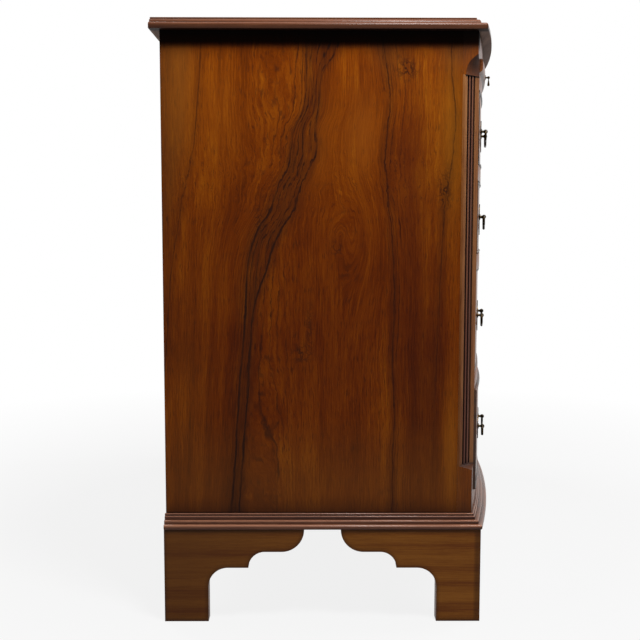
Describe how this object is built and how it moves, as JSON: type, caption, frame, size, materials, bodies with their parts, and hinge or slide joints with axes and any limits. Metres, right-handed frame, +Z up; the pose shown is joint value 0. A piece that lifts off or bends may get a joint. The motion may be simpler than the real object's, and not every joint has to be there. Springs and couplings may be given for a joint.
{
  "type": "bow front chest of drawers",
  "caption": "Bow front chest of drawers with long drawers, a brushing slide, fluted canted corners, bail handles, moulded top and base, on bracket feet.",
  "frame": {"origin": "on the floor, at the centre of the overall footprint", "axes": "+Z up; the bowed drawer fronts face -Y; a person who stands facing the drawers has +X on the right"},
  "size_m": [1.158, 0.5899, 0.95],
  "materials": {
    "walnut_top": "figured walnut veneer, french polished, glossy",
    "walnut_side": "figured walnut veneer, french polished, glossy",
    "walnut_front": "cross-banded walnut, polished",
    "walnut_drawer": "burr walnut veneer, french polished, glossy",
    "walnut_moulding": "dark polished walnut moulding",
    "walnut_feet": "dark walnut veneer, polished",
    "oak": "planed oak, unfinished",
    "pine": "sawn and planed pine, unfinished",
    "brass": "cast brass, dark aged patina"
  },
  "bodies": {
    "carcass": {"top": "walnut_top", "side_left": "walnut_side", "side_right": "walnut_side", "corner_post_left": "walnut_front", "corner_post_right": "walnut_front", "back_panel": "pine", "bottom_board": "pine", "frieze_rail": "walnut_front", "bottom_rail": "walnut_front", "drawer_dividers": "oak", "dust_boards": "pine", "drawer_runners": "oak", "base_moulding_front": "walnut_moulding", "base_moulding_left": "walnut_moulding", "base_moulding_right": "walnut_moulding", "front_foot_left": "walnut_feet", "front_foot_right": "walnut_feet", "rear_foot_left": "walnut_feet", "rear_foot_right": "walnut_feet"},
    "slide": {"slide_board": "oak", "slide_lip": "walnut_front", "slide_pull_posts": "brass"},
    "slide_drop_left": {"slide_drop_left": "brass"},
    "slide_drop_right": {"slide_drop_right": "brass"},
    "drawer_1": {"drawer_1_front": "walnut_drawer", "drawer_1_cockbead": "walnut_front", "drawer_1_sides": "oak", "drawer_1_back": "oak", "drawer_1_bottom": "oak", "drawer_1_handle_mounts": "brass", "drawer_1_lock": "brass"},
    "drawer_1_bail_left": {"drawer_1_bail_left": "brass"},
    "drawer_1_bail_right": {"drawer_1_bail_right": "brass"},
    "drawer_2": {"drawer_2_front": "walnut_drawer", "drawer_2_cockbead": "walnut_front", "drawer_2_sides": "oak", "drawer_2_back": "oak", "drawer_2_bottom": "oak", "drawer_2_handle_mounts": "brass", "drawer_2_lock": "brass"},
    "drawer_2_bail_left": {"drawer_2_bail_left": "brass"},
    "drawer_2_bail_right": {"drawer_2_bail_right": "brass"},
    "drawer_3": {"drawer_3_front": "walnut_drawer", "drawer_3_cockbead": "walnut_front", "drawer_3_sides": "oak", "drawer_3_back": "oak", "drawer_3_bottom": "oak", "drawer_3_handle_mounts": "brass", "drawer_3_lock": "brass"},
    "drawer_3_bail_left": {"drawer_3_bail_left": "brass"},
    "drawer_3_bail_right": {"drawer_3_bail_right": "brass"},
    "drawer_4": {"drawer_4_front": "walnut_drawer", "drawer_4_cockbead": "walnut_front", "drawer_4_sides": "oak", "drawer_4_back": "oak", "drawer_4_bottom": "oak", "drawer_4_handle_mounts": "brass", "drawer_4_lock": "brass"},
    "drawer_4_bail_left": {"drawer_4_bail_left": "brass"},
    "drawer_4_bail_right": {"drawer_4_bail_right": "brass"}
  },
  "joints": [
    {"name": "slide_slide", "type": "slide", "parent": "carcass", "child": "slide", "axis": [0, -1, 0], "range_m": [0, 0.26]},
    {"name": "slide_drop_left_swing", "type": "hinge", "parent": "slide", "child": "slide_drop_left", "pos_m": [-0.38593, -0.25582, 0.8845], "axis": [-0.9872, 0.1595, 0], "range_deg": [-12, 192]},
    {"name": "slide_drop_right_swing", "type": "hinge", "parent": "slide", "child": "slide_drop_right", "pos_m": [0.38593, -0.25582, 0.8845], "axis": [-0.9872, -0.1595, 0], "range_deg": [-12, 192]},
    {"name": "drawer_1_slide", "type": "slide", "parent": "carcass", "child": "drawer_1", "axis": [0, -1, 0], "range_m": [0, 0.33]},
    {"name": "drawer_1_bail_left_swing", "type": "hinge", "parent": "drawer_1", "child": "drawer_1_bail_left", "pos_m": [-0.38628, -0.25193, 0.789], "axis": [-0.9871, 0.1598, 0], "range_deg": [-11, 191]},
    {"name": "drawer_1_bail_right_swing", "type": "hinge", "parent": "drawer_1", "child": "drawer_1_bail_right", "pos_m": [0.38628, -0.25193, 0.789], "axis": [-0.9871, -0.1598, 0], "range_deg": [-11, 191]},
    {"name": "drawer_2_slide", "type": "slide", "parent": "carcass", "child": "drawer_2", "axis": [0, -1, 0], "range_m": [0, 0.33]},
    {"name": "drawer_2_bail_left_swing", "type": "hinge", "parent": "drawer_2", "child": "drawer_2_bail_left", "pos_m": [-0.38628, -0.25153, 0.647], "axis": [-0.9871, 0.1598, 0], "range_deg": [-11, 191]},
    {"name": "drawer_2_bail_right_swing", "type": "hinge", "parent": "drawer_2", "child": "drawer_2_bail_right", "pos_m": [0.38628, -0.25153, 0.647], "axis": [-0.9871, -0.1598, 0], "range_deg": [-11, 191]},
    {"name": "drawer_3_slide", "type": "slide", "parent": "carcass", "child": "drawer_3", "axis": [0, -1, 0], "range_m": [0, 0.33]},
    {"name": "drawer_3_bail_left_swing", "type": "hinge", "parent": "drawer_3", "child": "drawer_3_bail_left", "pos_m": [-0.38628, -0.25053, 0.48], "axis": [-0.9871, 0.1598, 0], "range_deg": [-11, 191]},
    {"name": "drawer_3_bail_right_swing", "type": "hinge", "parent": "drawer_3", "child": "drawer_3_bail_right", "pos_m": [0.38628, -0.25053, 0.48], "axis": [-0.9871, -0.1598, 0], "range_deg": [-11, 191]},
    {"name": "drawer_4_slide", "type": "slide", "parent": "carcass", "child": "drawer_4", "axis": [0, -1, 0], "range_m": [0, 0.33]},
    {"name": "drawer_4_bail_left_swing", "type": "hinge", "parent": "drawer_4", "child": "drawer_4_bail_left", "pos_m": [-0.38628, -0.25473, 0.288], "axis": [-0.9871, 0.1598, 0], "range_deg": [-11, 191]},
    {"name": "drawer_4_bail_right_swing", "type": "hinge", "parent": "drawer_4", "child": "drawer_4_bail_right", "pos_m": [0.38628, -0.25473, 0.288], "axis": [-0.9871, -0.1598, 0], "range_deg": [-11, 191]}
  ]
}
